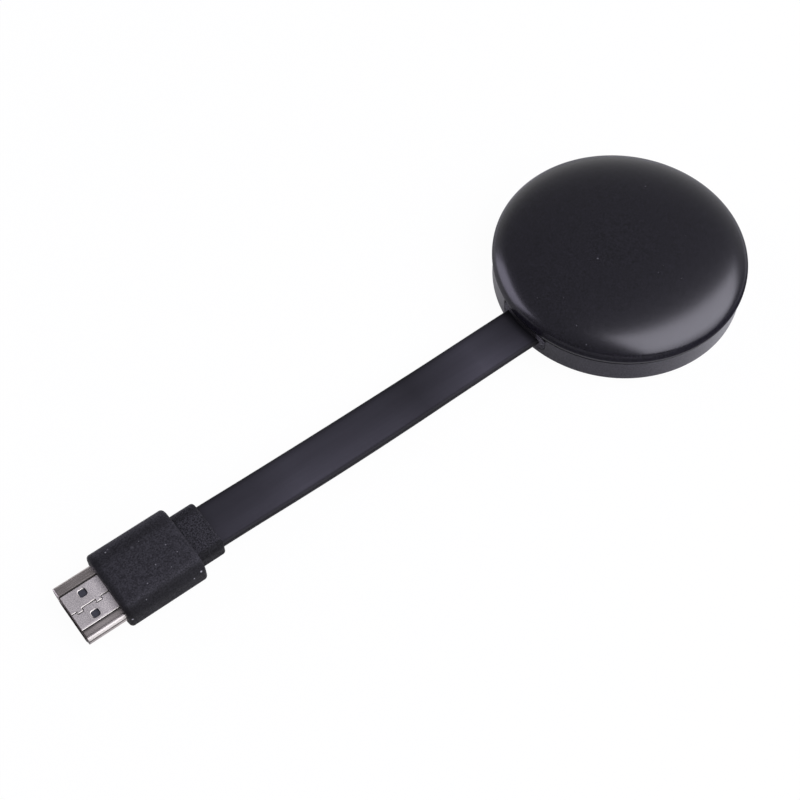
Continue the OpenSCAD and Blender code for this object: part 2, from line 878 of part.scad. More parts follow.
module plug_neck() {
    color([0.11, 0.11, 0.12])
    difference() {
        union() {
            soft_block(neck_flange_x + neck_flange_t / 2, neck_x, neck_w, neck_h, neck_r,
                       neck_edge_r, plug_z);
            prism_x(neck_flange_x, neck_flange_x + neck_flange_t - fit_gap,
                moved(rounded_box(neck_flange_w, neck_flange_h, neck_r), 0, plug_z));
        }
        prism_x(neck_x - cable_grip, neck_x + cut, moved(cable_outline(fit_gap), 0, plug_z));
        cores(neck_flange_x - cut, neck_x - cable_grip + cut, plug_z, fit_gap);
    }
}

module plug_cores() {
    color([0.75, 0.35, 0.25])
        for (y = row(core_count, core_pitch))
            wire([for (p = core_line) [p[0], y, p[1]]], core_d);
}

// Slanted bore from one place [x, z] to another
module slanted_bore(from, to, y, d) {
    run = to - from;
    translate([from[0], y, from[1]])
        rotate([0, atan2(run[0], run[1]), 0])
            translate([0, 0, -cut])
                cylinder(h = norm(run) + 2 * cut, d = d, $fn = 24);
}

// Block moulded around the soldered cores behind the connector
module plug_inner_mould() {
    color([0.85, 0.83, 0.78])
    difference() {
        prism_x(mould_front_x, neck_flange_x,
            moved(shell_outline(0), 0, connector_z));
        for (y = row(core_count, core_pitch))
            slanted_bore(core_line[1], core_line[2], y, core_d + 2 * fit_gap);
    }
}

// Hollow block: room for the connector's can, for the neck's flange, and openings at both ends
module plug_housing() {
    can_room = can_t + 2 * fit_gap + can_side_gap;
    color([0.1, 0.1, 0.11])
    difference() {
        soft_block(plug_front_x, plug_rear_x, plug_w, plug_h, plug_r, plug_edge_r, plug_z);
        prism_x(plug_front_x + plug_front_t, neck_flange_x + fit_gap,
            moved(shell_outline(-can_room), 0, connector_z));
        prism_x(neck_flange_x - fit_gap, plug_rear_x - plug_rear_t,
            moved(rounded_box(neck_flange_w + 2 * fit_gap, neck_flange_h + 2 * fit_gap,
                              neck_r + fit_gap), 0, plug_z));
        prism_x(plug_front_x - cut, plug_front_x + plug_front_t + cut,
            moved(shell_outline(-fit_gap), 0, connector_z));
        prism_x(plug_rear_x - plug_rear_t - cut, plug_rear_x + cut,
            moved(rounded_box(neck_w + 2 * fit_gap, neck_h + 2 * fit_gap, neck_r + fit_gap), 0,
                  plug_z));
    }
}

// HDMI connector

// Section of the shell, moved inwards by inset
function shell_outline(inset) =
    let (top = hdmi_h / 2 - inset, w = hdmi_w / 2 - inset, n = shell_narrow_w / 2 - inset,
         edge = top - panel_step, side = edge - strip_fall,
         fold = hdmi_h / 2 - shell_wall_h + inset * fold_share,
         low = fold - (hdmi_w - shell_narrow_w) / 2 * tan(fold_angle), bottom = inset - hdmi_h / 2,
         p = panel_w / 2, q = p + panel_run, r = max(shell_r - inset, sheet_t / 2),
         out_r = fold_r - inset, in_r = fold_r + inset)
    rounded([
        [p, top, 0], [-p, top, 0], [-q, edge, 0], [-w, side, r], [-w, fold, out_r],
        [-n, low, in_r], [-n, bottom, r], [n, bottom, r], [n, low, in_r], [w, fold, out_r],
        [w, side, r], [q, edge, 0]
    ]);

// One dovetail of the seam: a head that is wider than its neck, grown by gap
module lump(s, gap) {
    polygon(moved(rounded([
        [lump_neck / 2 + gap, 0, 0], [-lump_neck / 2 - gap, 0, 0],
        [-lump_head / 2 - gap, -lump_depth - gap, lump_r],
        [lump_head / 2 + gap, -lump_depth - gap, lump_r]
    ]), mouth_x + s, 0));
}

module shell_seam() {
    ends = [for (s = lump_places) each [s - lump_neck / 2, s + lump_neck / 2]];
    stops = concat([-cut], ends, [shell_l + cut]);
    for (i = [0:2:len(stops) - 1])
        translate([mouth_x + stops[i] - seam_w / 2, -seam_w / 2])
            square([stops[i + 1] - stops[i] + seam_w, seam_w]);
    for (s = lump_places)
        difference() {
            lump(s, seam_w / 2);
            lump(s, -seam_w / 2);
        }
}

module shell_windows() {
    for (side = [-1, 1])
        polygon(moved(rounded_box(window_side, window_side, window_r),
            mouth_x + window_from_mouth, side * window_from_middle));
}

module hdmi_shell() {
    color([0.72, 0.7, 0.68])
    difference() {
        prism_x(mouth_x, mouth_x + shell_l, moved(shell_outline(0), 0, connector_z));
        prism_x(mouth_x - cut, mouth_x + shell_l + cut, moved(shell_outline(sheet_t), 0, connector_z));
        translate([0, 0, connector_z - hdmi_h])
            linear_extrude(2 * hdmi_h)
                shell_windows();
        translate([0, 0, connector_z])
            linear_extrude(hdmi_h)
                shell_seam();
    }
}

// Folded can that closes the rear of the connector
module hdmi_rear_can() {
    x0 = mouth_x + rear_can_start;
    color([0.7, 0.7, 0.7])
    difference() {
        prism_x(x0, x0 + rear_can_l, moved(shell_outline(-fit_gap - can_t), 0, connector_z));
        prism_x(x0 - cut, x0 + rear_can_l + cut, moved(shell_outline(-fit_gap), 0, connector_z));
    }
}

module hdmi_insulator() {
    x0 = mouth_x + insulator_start;
    slot_mid = connector_z + slot_z;
    color([0.07, 0.07, 0.08])
    difference() {
        prism_x(x0, x0 + insulator_l, moved(shell_outline(sheet_t + fit_gap), 0, connector_z));
        prism_x(x0 - cut, x0 + slot_l,
            moved(rounded_box(slot_w, slot_h, contact_t), 0, slot_mid));
        for (y = row(upper_count, contact_pitch))
            translate([x0 - cut, y - channel_w / 2, slot_mid])
                cube([insulator_l + 2 * cut, channel_w, slot_h / 2 + channel_h]);
        for (y = row(lower_count, contact_pitch))
            translate([x0 - cut, y - channel_w / 2, slot_mid - slot_h / 2 - channel_h])
                cube([insulator_l + 2 * cut, channel_w, slot_h / 2 + channel_h]);
    }
}

// Sprung contact seen from the side: it dips into the slot near its tip
module contact_strip(y, side) {
    rest = slot_h / 2 + channel_h / 2;
    tail = insulator_start + insulator_l + tail_l;
    line = [[contact_tip, rest], [contact_bend, rest - contact_dip], [contact_rise, rest],
            [tail, rest]];
    half = contact_t / 2;
    outline = concat(
        [for (p = line) [p[0], side * (p[1] + half)]],
        [for (i = [len(line) - 1:-1:0]) [line[i][0], side * (line[i][1] - half)]]);
    translate([mouth_x, y + contact_w / 2, connector_z + slot_z])
        rotate([90, 0, 0])
            linear_extrude(contact_w)
                polygon(outline);
}

module hdmi_upper_contacts() {
    color([0.86, 0.7, 0.34])
        for (y = row(upper_count, contact_pitch))
            contact_strip(y, 1);
}

module hdmi_lower_contacts() {
    color([0.86, 0.7, 0.34])
        for (y = row(lower_count, contact_pitch))
            contact_strip(y, -1);
}

top_cover();
base_cover();
cable_grommet();
main_board();
processor_chip();
memory_chips();
flash_chip();
power_chip();
wifi_shield_can();
clock_crystal();
power_inductors();
board_capacitors();
thermal_pad();
heat_spreader();
board_screws();
antenna_strip();
antenna_lead();
antenna_socket();
usb_shell();
usb_insulator();
usb_contacts();
button_cap();
switch_plunger();
switch_housing();
status_led();
light_pipe();
cable_cores();
flat_cable();
plug_neck();
plug_cores();
plug_inner_mould();
plug_housing();
hdmi_shell();
hdmi_rear_can();
hdmi_insulator();
hdmi_upper_contacts();
hdmi_lower_contacts();
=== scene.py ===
import math

import bmesh
import bpy
from mathutils import Matrix, Vector


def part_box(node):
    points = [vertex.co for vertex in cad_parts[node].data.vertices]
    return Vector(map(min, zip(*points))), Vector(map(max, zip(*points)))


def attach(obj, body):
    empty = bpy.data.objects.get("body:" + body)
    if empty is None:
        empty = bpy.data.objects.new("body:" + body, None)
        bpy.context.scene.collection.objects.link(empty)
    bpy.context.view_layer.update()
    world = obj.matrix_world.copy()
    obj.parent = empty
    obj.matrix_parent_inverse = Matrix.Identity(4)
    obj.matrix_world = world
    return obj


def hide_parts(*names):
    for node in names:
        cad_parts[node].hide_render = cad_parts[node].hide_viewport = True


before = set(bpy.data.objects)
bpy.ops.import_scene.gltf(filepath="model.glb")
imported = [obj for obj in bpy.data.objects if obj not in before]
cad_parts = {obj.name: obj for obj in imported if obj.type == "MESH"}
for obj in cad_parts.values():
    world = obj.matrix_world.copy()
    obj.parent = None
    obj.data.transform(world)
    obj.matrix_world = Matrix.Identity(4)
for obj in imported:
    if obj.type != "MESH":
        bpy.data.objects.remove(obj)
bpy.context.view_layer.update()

mm = 0.001          # sizes below are in millimetres, and newPiece() turns them into metres


# Shader tools

class Wire:
    # an output socket that can stand in sums and products
    def __init__(self, paint, socket):
        self.paint = paint
        self.socket = socket

    def reckon(self, operation, *values):
        return self.paint.node("ShaderNodeMath", {"operation": operation}, dict(enumerate(values)))

    def __add__(self, other):
        return self.reckon("ADD", self, other)

    def __radd__(self, other):
        return self.reckon("ADD", other, self)

    def __sub__(self, other):
        return self.reckon("SUBTRACT", self, other)

    def __rsub__(self, other):
        return self.reckon("SUBTRACT", other, self)

    def __mul__(self, other):
        return self.reckon("MULTIPLY", self, other)

    def __rmul__(self, other):
        return self.reckon("MULTIPLY", other, self)

    def __truediv__(self, other):
        return self.reckon("DIVIDE", self, other)


class Paint:
    # a material, or the world given as its owner, and the one way in which its nodes are made
    def __init__(self, name, owner=None):
        self.owner = owner or bpy.data.materials.new(name)
        self.owner.use_nodes = True
        self.tree = self.owner.node_tree
        self.shader = self.tree.nodes.get("Principled BSDF")

    def node(self, kind, settings=None, inputs=None, output=0):
        made = self.tree.nodes.new(kind)
        for key, value in (settings or {}).items():
            if key == "stops":
                self.setStops(made.color_ramp, value)
            else:
                setattr(made, key, value)
        for key, value in (inputs or {}).items():
            self.feed(made.inputs[key], value)
        return Wire(self, made.outputs[output])

    def setStops(self, ramp, stops):
        while len(ramp.elements) < len(stops):
            ramp.elements.new(1)
        for element, (spot, grey) in zip(ramp.elements, stops):
            element.position = spot
            element.color = (grey, grey, grey, 1)

    def feed(self, socket, value):
        if isinstance(value, Wire):
            self.tree.links.new(value.socket, socket)
        else:
            socket.default_value = value

    def finish(self, **values):
        # baseColor=... feeds the socket Base Color
        for key, value in values.items():
            name = "".join(" " + c if c.isupper() else c for c in key).title()
            self.feed(self.shader.inputs[name.replace("Ior", "IOR")], value)
        return self.owner

    def place(self):
        return self.node("ShaderNodeTexCoord", output="Object")

    def axis(self, index):
        # one coordinate of the place, in millimetres
        split = self.node("ShaderNodeSeparateXYZ", inputs={0: self.place()}, output=index)
        return split * (1 / mm)

    def ramp(self, value, stops):
        return self.node("ShaderNodeValToRGB", {"stops": stops}, {"Fac": value})

    def profile(self, value, stops):
        # grey level that follows stops given at real values
        low, span = stops[0][0], stops[-1][0] - stops[0][0]
        return self.ramp((value - low) / span, [((at - low) / span, grey) for at, grey in stops])

    def noise(self, grain, detail=2, stretch=(1, 1, 1)):
        # soft noise whose lumps are about as many millimetres across as grain says
        mapped = self.node("ShaderNodeMapping",
                           inputs={"Vector": self.place(), "Scale": stretch})
        return self.node("ShaderNodeTexNoise",
                         inputs={"Vector": mapped, "Scale": 1 / (grain * mm), "Detail": detail})

    def blend(self, mask, first, second):
        # sockets 6 and 7 are the node's two colours, output 2 its colour
        return self.node("ShaderNodeMix", {"data_type": "RGBA"},
                         {0: mask, 6: first, 7: second}, output=2)

    def bump(self, height, depth):
        # depth in millimetres
        return self.node("ShaderNodeBump", inputs={"Height": height, "Distance": depth * mm})

    def shaded(self, shade, colour):
        # painted light and shade: the colour darkened along axes (0 is x, 1 is y, 2 is z) by the
        # stops given for each
        for index, stops in shade.items():
            colour = self.blend(self.profile(self.axis(index), stops), tone["black"], colour)
        return colour

    def flecks(self, dust, colour):
        # the colour with dust laid over it, each fleck with a place (x, y, z), size and share
        ragged = self.noise(fleck["ragged"], detail=1)
        for x, y, z, size, share in dust:
            far = self.node("ShaderNodeVectorMath", {"operation": "DISTANCE"},
                            {0: self.place(), 1: (x * mm, y * mm, z * mm)}, output="Value")
            reach = far * (1 / (size * mm)) + fleck["raggedShare"] * ragged
            bare = self.profile(reach, fleck["edge"])
            colour = self.blend((1 - bare) * share, colour, tone["dust"])
        return colour


def rgb(r, g, b):
    return (r, g, b, 1)


def scaled(tint, share):
    return [c * share for c in tint[:3]] + [1]


# Mesh tools, in millimetres

creaseAngle = 35        # degrees from which an edge is drawn sharp
weldGap = 1e-4          # points nearer than this become one
broadWeight = 100       # how far broad faces keep their normals level
cutPast = 1             # how far a cutter reaches past the surface that it cuts


def newPiece(name, points, faces):
    mesh = bpy.data.meshes.new(name)
    mesh.from_pydata([tuple(c * mm for c in p) for p in points], [], faces)
    body = bmesh.new()
    body.from_mesh(mesh)
    bmesh.ops.remove_doubles(body, verts=body.verts, dist=weldGap * mm)
    bmesh.ops.recalc_face_normals(body, faces=body.faces)
    body.to_mesh(mesh)
    body.free()
    mesh.shade_smooth()
    mesh.set_sharp_from_angle(angle=math.radians(creaseAngle))
    piece = bpy.data.objects.new(name, mesh)
    bpy.context.scene.collection.objects.link(piece)
    return piece


def roundedOutline(corners, steps):
    # closed outline through the points (y, z, radius), each corner an arc
    points = []
    for i, (y, z, radius) in enumerate(corners):
        here = Vector((y, z))
        before = Vector(corners[i - 1][:2]) - here
        after = Vector(corners[(i + 1) % len(corners)][:2]) - here
        if radius == 0:
            points.append(here)
            continue
        before.normalize()
        after.normalize()
        half = before.angle(after) / 2
        centre = here + (before + after).normalized() * (radius / math.sin(half))
        start = here + before * (radius / math.tan(half)) - centre
        end = here + after * (radius / math.tan(half)) - centre
        for k in range(steps + 1):
            points.append(centre + start.slerp(end, k / steps) * radius)
    return points


def roundedBox(width, height, radius, steps):
    w, h = width / 2, height / 2
    return roundedOutline([(w, h, radius), (-w, h, radius), (-w, -h, radius), (w, -h, radius)],
                          steps)


def loft(name, rings):
    # closed solid through rings of equal count
    count = len(rings[0])
    last = (len(rings) - 1) * count
    faces = [tuple(range(count)), tuple(last + j for j in range(count))]
    for i in range(0, last, count):
        for j in range(count):
            k = (j + 1) % count
            faces.append((i + j, i + k, i + count + k, i + count + j))
    return newPiece(name, [p for ring in rings for p in ring], faces)


def ringAt(x, outline, z):
    return [(x, p[0], p[1] + z) for p in outline]


def prism(name, x0, x1, outline, z):
    return loft(name, [ringAt(x0, outline, z), ringAt(x1, outline, z)])


def lathe(name, profile, turns):
    # closed profile (radius, z) turned about the Z axis
    count = len(profile)
    points = []
    for i in range(turns):
        turn = 2 * math.pi * i / turns
        points += [(r * math.cos(turn), r * math.sin(turn), z) for r, z in profile]
    faces = []
    for i in range(turns):
        here, there = i * count, (i + 1) % turns * count
        for j in range(count):
            k = (j + 1) % count
            faces.append((here + j, there + j, there + k, here + k))
    return newPiece(name, points, faces)


def settle(piece):
    # turns the piece's modifiers into its mesh
    bpy.context.view_layer.update()
    graph = bpy.context.evaluated_depsgraph_get()
    mesh = bpy.data.meshes.new_from_object(piece.evaluated_get(graph))
    piece.modifiers.clear()
    piece.data = mesh
    return piece


def carve(piece, cutters):
    # subtracts the cutters and removes them
    for cutter in cutters:
        cut = piece.modifiers.new("cut", "BOOLEAN")
        cut.operation = "DIFFERENCE"
        cut.solver = "EXACT"
        cut.object = cutter
        settle(piece)
        bpy.data.objects.remove(cutter)


def pressedPlate(name, rings, z0, z1, rim, steps):
    # level plate between two heights with rounded rims; rings are its outline and its holes
    curve = bpy.data.curves.new(name, "CURVE")
    curve.dimensions = "2D"
    curve.fill_mode = "BOTH"
    curve.bevel_depth = rim * mm
    curve.bevel_resolution = steps
    curve.offset = -rim * mm
    curve.extrude = ((z1 - z0) / 2 - rim) * mm
    for ring in rings:
        spline = curve.splines.new("POLY")
        spline.points.add(len(ring) - 1)
        for point, (x, y) in zip(spline.points, ring):
            point.co = (x * mm, y * mm, 0, 1)
        spline.use_cyclic_u = True
    holder = bpy.data.objects.new(name, curve)
    bpy.context.scene.collection.objects.link(holder)
    bpy.context.view_layer.update()
    graph = bpy.context.evaluated_depsgraph_get()
    mesh = bpy.data.meshes.new_from_object(holder.evaluated_get(graph))
    bpy.data.objects.remove(holder)
    points = [(v.co.x / mm, v.co.y / mm, v.co.z / mm + (z0 + z1) / 2) for v in mesh.vertices]
    return newPiece(name, points, [tuple(f.vertices) for f in mesh.polygons])


def merge(name, pieces):
    # one piece out of several, whose broad faces keep level normals
    body = bmesh.new()
    for piece in pieces:
        body.from_mesh(piece.data)
        bpy.data.objects.remove(piece)
    mesh = bpy.data.meshes.new(name)
    body.to_mesh(mesh)
    body.free()
    whole = bpy.data.objects.new(name, mesh)
    bpy.context.scene.collection.objects.link(whole)
    level = whole.modifiers.new("level", "WEIGHTED_NORMAL")
    level.keep_sharp = True
    level.weight = broadWeight
    return settle(whole)


def dress(piece, material):
    piece.data.materials.clear()
    piece.data.materials.append(material)


def install(piece, material, slot, *nodes, body="housing"):
    dress(piece, material)
    if nodes:
        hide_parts(*nodes)
    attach(piece, body)
    return piece


def boxOf(node):
    low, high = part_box(node)
    return low / mm, high / mm


# Camera: angles in degrees, azimuth from -Y towards +X

view = {"azimuth": -36.79, "elevation": 57.9, "roll": -0.27, "distance": 321.7,
        "target": (-60.7, 0.75, 4.69),
        "focalPixels": 1516.8, "framePixels": 800, "sensor": 36, "clipStart": 0.01}


def makeCamera():
    turn, rise = math.radians(view["azimuth"]), math.radians(view["elevation"])
    back = Vector((math.sin(turn) * math.cos(rise), -math.cos(turn) * math.cos(rise),
                   math.sin(rise)))
    camera = bpy.data.cameras.new("camera")
    camera.sensor_width = view["sensor"]
    camera.lens = view["focalPixels"] * view["sensor"] / view["framePixels"]
    camera.clip_start = view["clipStart"]
    holder = bpy.data.objects.new("camera", camera)
    bpy.context.scene.collection.objects.link(holder)
    aim = (-back).to_track_quat("-Z", "Y").to_matrix().to_4x4()
    roll = Matrix.Rotation(math.radians(view["roll"]), 4, "Z")
    place = (Vector(view["target"]) + back * view["distance"]) * mm
    holder.matrix_world = Matrix.Translation(place) @ aim @ roll
    bpy.context.scene.camera = holder


makeCamera()
print("camera placed")

# Flat cable: the route repeats the one in the part's source, [x, z]

cable = {"route": [(-24, 4), (-29, 4), (-32, 3.97), (-36, 3.9), (-41, 3.79), (-47, 3.64),
                   (-53, 3.5), (-60, 3.38), (-67, 3.31), (-74, 3.31), (-81, 3.38), (-87, 3.5),
                   (-93, 3.67), (-98, 3.85), (-102, 4), (-106, 4.13), (-109, 4.2), (-112.5, 4.2)],
         "width": 10.6, "thick": 1.6, "edge": 0.65, "edgeSteps": 6, "stepsPerSpan": 5,
         "length": 88.6, "broadAt": -76, "broadReach": 24, "broader": 0.2}


def smoothLine(points, steps):
    # Catmull-Rom curve through the points
    line = []
    for i in range(len(points) - 1):
        a = points[max(i - 1, 0)]
        b, c = points[i], points[i + 1]
        d = points[min(i + 2, len(points) - 1)]
        for k in range(steps):
            t = k / steps
            line.append(0.5 * (2 * b + (c - a) * t + (2 * a - 5 * b + 4 * c - d) * t ** 2
                               + (3 * b - a - 3 * c + d) * t ** 3))
    return line + [points[-1]]


def makeCable(material):
    # rings square to the route, a little broader around broadAt
    line = smoothLine([Vector(p) for p in cable["route"]], cable["stepsPerSpan"])
    rings = []
    for i, here in enumerate(line):
        along = (line[min(i + 1, len(line) - 1)] - line[max(i - 1, 0)]).normalized()
        away = (here.x - cable["broadAt"]) / cable["broadReach"]
        outline = roundedBox(cable["width"] + cable["broader"] * max(0, 1 - away ** 2),
                             cable["thick"], cable["edge"], cable["edgeSteps"])
        rings.append([(here.x + along.y * p[1], p[0], here.y - along.x * p[1])
                      for p in outline])
    piece = install(loft("cableJacket", rings), material, "cable_jacket", "flat_cable")
    return piece, [(p.x * mm, 0, p.y * mm) for p in line]


# Materials

tone = {"lid": rgb(0.005, 0.0047, 0.0067), "lidGrain": rgb(0.0165, 0.0154, 0.0212),
        "dust": rgb(0.55, 0.55, 0.58),
        # black: the dark that painted shade blends towards
        "black": rgb(0.002, 0.002, 0.002),
        "nickel": rgb(0.87, 0.795, 0.745), "nickelDark": rgb(0.61, 0.555, 0.52),
        "panel": rgb(0.9, 0.855, 0.795), "panelDark": rgb(0.52, 0.488, 0.465),
        # painted highlight: the white laid on the shell's bright strip and on the rims that face
        # the lit side
        "paintedHighlight": rgb(0.94, 0.9, 0.8),
        "mouth": rgb(0.06, 0.045, 0.04),
        "steel": rgb(0.62, 0.61, 0.59), "gold": rgb(0.83, 0.6, 0.25),
        "board": rgb(0.02, 0.13, 0.06), "chip": rgb(0.03, 0.03, 0.032),
        "ivory": rgb(0.7, 0.66, 0.54), "tan": rgb(0.45, 0.33, 0.2), "pad": rgb(0.3, 0.42, 0.58),
        "copper": rgb(0.7, 0.38, 0.2), "core": rgb(0.45, 0.14, 0.09),
        "clear": rgb(0.9, 0.92, 0.94), "inside": rgb(0.015, 0.015, 0.016),
        "insulator": rgb(0.052, 0.054, 0.066)}
mottled = [(0.35, 0), (0.65, 1)]        # the contrast of most grains
fleck = {"ragged": 0.12, "raggedShare": 0.6, "edge": [(0.5, 0), (1.4, 1)]}


def lidPlastic(settings):
    paint = Paint("lidPlastic")
    fine = paint.noise(settings["grain"], detail=3)
    x, y, z = [paint.axis(index) for index in range(3)]
    # painted sheen: the glossy coat is the lid's real gloss, and its amount by height and side
    # places the reflections and leaves the lower rim dark
    paintedSheen = paint.profile(z, settings["paintedSheen"])
    for across, side, heights in ((x, "left", "paintedSheenLeft"), (x + y, "far", "paintedSheenFar"),
                                  (y - x, "rear", "paintedSheenRear")):
        paintedSheen = paint.blend(paint.profile(across, settings[side]), paintedSheen,
                            paint.profile(z, settings[heights]))
    colour = paint.blend(paint.ramp(fine, mottled), tone["lid"], tone["lidGrain"])
    # painted shade: the lid darkened at its lowest edge, over the gap to the base
    colour = paint.blend(paint.profile(z, settings["gap"]), tone["black"], colour)
    return paint.finish(baseColor=paint.flecks(settings["dust"], colour),
                        roughness=settings["roughness"], specularIorLevel=0.0,
                        coatWeight=paintedSheen, coatRoughness=settings["coatRoughness"],
                        coatIor=settings["coatIor"],
                        normal=paint.bump(fine, settings["relief"]))


# what the moulded grains share: a finer grain in the coarse one, and pits between the lumps
pitting = {"finer": 0.4, "shares": (0.6, 0.4), "pits": [(0.4, 0), (0.62, 1)],
           "rougher": 0.12, "sheenRoughness": 0.35}


def grainPlastic(name, settings):
    paint = Paint(name)
    coarse = paint.noise(settings["size"])
    fine = paint.noise(settings["size"] * pitting["finer"])
    coarseShare, fineShare = pitting["shares"]
    pitted = paint.ramp(coarse * coarseShare + fine * fineShare, pitting["pits"])
    dark, pale = [scaled(settings["tint"], share) for share in settings["contrast"]]
    # painted light and shade along the axes
    colour = paint.shaded(settings.get("shade", {}), paint.blend(pitted, dark, pale))
    # painted sheen: a coat weight that grows by x and by y, brightening the sides that catch the
    # light
    if "sheen" in settings:
        sheen = paint.profile(paint.axis(0), settings["sheen"])
        across = paint.profile(paint.axis(1), settings["sheenAcross"])
        paint.finish(coatWeight=sheen.reckon("MAXIMUM", sheen, across),
                     coatRoughness=pitting["sheenRoughness"])
    return paint.finish(baseColor=paint.flecks(settings.get("dust", []), colour),
                        specularIorLevel=settings["level"],
                        roughness=settings["roughness"] + pitting["rougher"] * (1 - pitted),
                        normal=paint.bump(pitted, settings["depth"]))


def cableRubber(settings):
    paint = Paint("cableRubber")
    streaks = paint.noise(settings["streaks"], detail=3, stretch=settings["stretch"])
    fine = paint.noise(settings["fine"])
    coarseShare, fineShare = settings["shares"]
    colour = paint.blend(streaks, settings["tint"],
                         scaled(settings["tint"], settings["paler"]))
    # painted light and shade along the cable and across its edges
    return paint.finish(baseColor=paint.shaded(settings["shade"], colour),
                        specularIorLevel=settings["level"],
                        roughness=settings["roughness"] + settings["rougher"] * streaks,
                        normal=paint.bump(streaks * coarseShare + fine * fineShare,
                                          settings["relief"]))


def nickelPlate(settings):
    # drawn sheet: a matt panel between the creases, strips with fine lines along the axis; painted
    # highlights and painted shade lie on strips, rims and panel
    paint = Paint("nickelPlate")
    x, y, z = [paint.axis(index) for index in range(3)]
    lines = paint.noise(settings["lines"], detail=3, stretch=settings["stretch"])
    speckle = paint.noise(settings["speckle"], detail=3)
    top = boxOf("hdmi_shell")[1].z
    level = paint.profile(z, [(top - depth, grey) for depth, grey in settings["level"]])
    matt = paint.profile(y, settings["panel"]) * level
    strip = paint.blend(paint.ramp(lines, mottled), tone["nickelDark"], tone["nickel"])
    # painted highlight: the strip along the -Y side is painted white
    strip = paint.blend(paint.profile(y, settings["bright"]), strip, tone["paintedHighlight"])
    # painted shade: dark lines along the strips by the creases and along the top of the side wall,
    # the strips darker towards the mouth
    strip = paint.shaded(settings["stripShade"], strip)
    face = paint.blend(paint.ramp(speckle, settings["speckled"]), tone["panelDark"],
                       tone["panel"])
    # painted light and shade: the panel darker towards the mouth and lighter beside the -Y crease
    shade = paint.profile(x, settings["panelShade"]) + paint.profile(y, settings["panelEdge"])
    face = paint.blend(shade, tone["black"], face)
    colour = paint.blend(matt, strip, face)
    # painted highlight and shade: the rounded rims are painted white where they face the lit side,
    # and dark elsewhere
    rim = paint.profile(y, settings["rims"]) * (1 - level)
    facing = paint.node("ShaderNodeVectorMath", {"operation": "DOT_PRODUCT"},
                        {0: paint.node("ShaderNodeTexCoord", output="Normal"),
                         1: settings["litSide"]}, output="Value")
    rimLight = paint.blend(paint.profile(facing, settings["litFrom"]), tone["black"], tone["paintedHighlight"])
    colour = paint.blend(rim, colour, rimLight)
    mouth = paint.profile(x, settings["mouth"]) * paint.profile(y, settings["mouthAcross"])
    colour = paint.blend(mouth, colour, tone["mouth"])
    dull = (settings["dull"] * (matt + rim)
            + paint.profile(y, settings["strips"]) * (1 - matt) * (1 - rim))
    gloss, mattness = settings["roughness"]
    return paint.finish(baseColor=colour, metallic=1 - dull,
                        roughness=gloss + (mattness - gloss) * matt,
                        normal=paint.bump(lines * (1 - matt) + speckle * matt,
                                          settings["relief"]))


# the hidden pieces: sheet metal and plain mouldings
sheet = {"rougher": 0.12, "even": 0.5, "relief": 0.003}
moulding = {"darker": 0.86, "rougher": 0.08, "relief": 0.006}


def metal(name, tint, roughness, grain):
    paint = Paint(name)
    rolled = paint.noise(grain, detail=3)
    return paint.finish(baseColor=tint, metallic=1.0,
                        roughness=roughness + sheet["rougher"] * (rolled - sheet["even"]),
                        normal=paint.bump(rolled, sheet["relief"]))


def plain(name, tint, roughness, grain=0.3, alpha=1.0):
    paint = Paint(name)
    speckle = paint.noise(grain, detail=3)
    shade = paint.blend(paint.ramp(speckle, mottled), tint, scaled(tint, moulding["darker"]))
    return paint.finish(baseColor=shade, roughness=roughness + moulding["rougher"] * speckle,
                        alpha=alpha, normal=paint.bump(speckle, moulding["relief"]))


# the four coat lists give painted sheen: how much of the lid's glossy coat there is at a height,
# in front and then to the left, far and rear sides, which fade in by x, x + y and y - x; they
# place the reflections and leave the lower rim dark; gap: painted shade at the lid's lowest edge;
# dust: x, y, z, size and share
lidSkin = {"grain": 0.3, "relief": 0.002, "roughness": 0.5, "coatRoughness": 0.235,
           "coatIor": 1.68,
           "paintedSheen": [(6.5, 0), (6.95, 0), (7.05, 0.5), (7.5, 0.5), (7.7, 0.12), (8.2, 0.05),
                     (9, 0.02), (9.3, 0.08), (9.7, 0.42), (10.1, 0.75), (10.5, 1)],
           "paintedSheenLeft": [(6.5, 0), (6.95, 0), (7.05, 0.5), (7.5, 0.5), (7.7, 0.12),
                         (8.4, 0.08), (9, 0.26), (9.5, 0.66), (9.9, 0.86), (10.4, 1)],
           "paintedSheenFar": [(6.5, 0), (9, 0.05), (9.5, 0.18), (9.9, 0.42), (10.35, 0.74),
                        (10.9, 1)],
           "paintedSheenRear": [(6.5, 0), (6.95, 0), (7.05, 0.5), (7.5, 0.5), (7.7, 0.36), (8.4, 0.34),
                         (9, 0.4), (9.5, 0.68), (9.9, 0.86), (10.4, 1)],
           "left": [(-14, 1), (-3, 0)], "far": [(10, 0), (28, 1)], "rear": [(22, 0), (33, 1)],
           "gap": [(6.5, 0.1), (6.93, 0.1), (7.05, 1), (13.4, 1)],
           "dust": [(-7.6, -0.5, 13.27, 0.22, 0.22), (0.5, -11.2, 13.11, 0.12, 0.12),
                    (2.6, -10.5, 13.13, 0.12, 0.1), (3.6, -15.3, 12.78, 0.14, 0.12),
                    (12.2, -7.2, 12.91, 0.12, 0.08), (-21.9, -10.4, 11.41, 0.17, 0.18),
                    (-22.8, -14.8, 10.19, 0.17, 0.18), (-23.9, 0.3, 11.51, 0.14, 0.12),
                    (-19.8, -3.5, 12.26, 0.13, 0.1), (14.8, 8.8, 12.64, 0.25, 0.08),
                    (23.8, 9.6, 10.92, 0.17, 0.14)]}
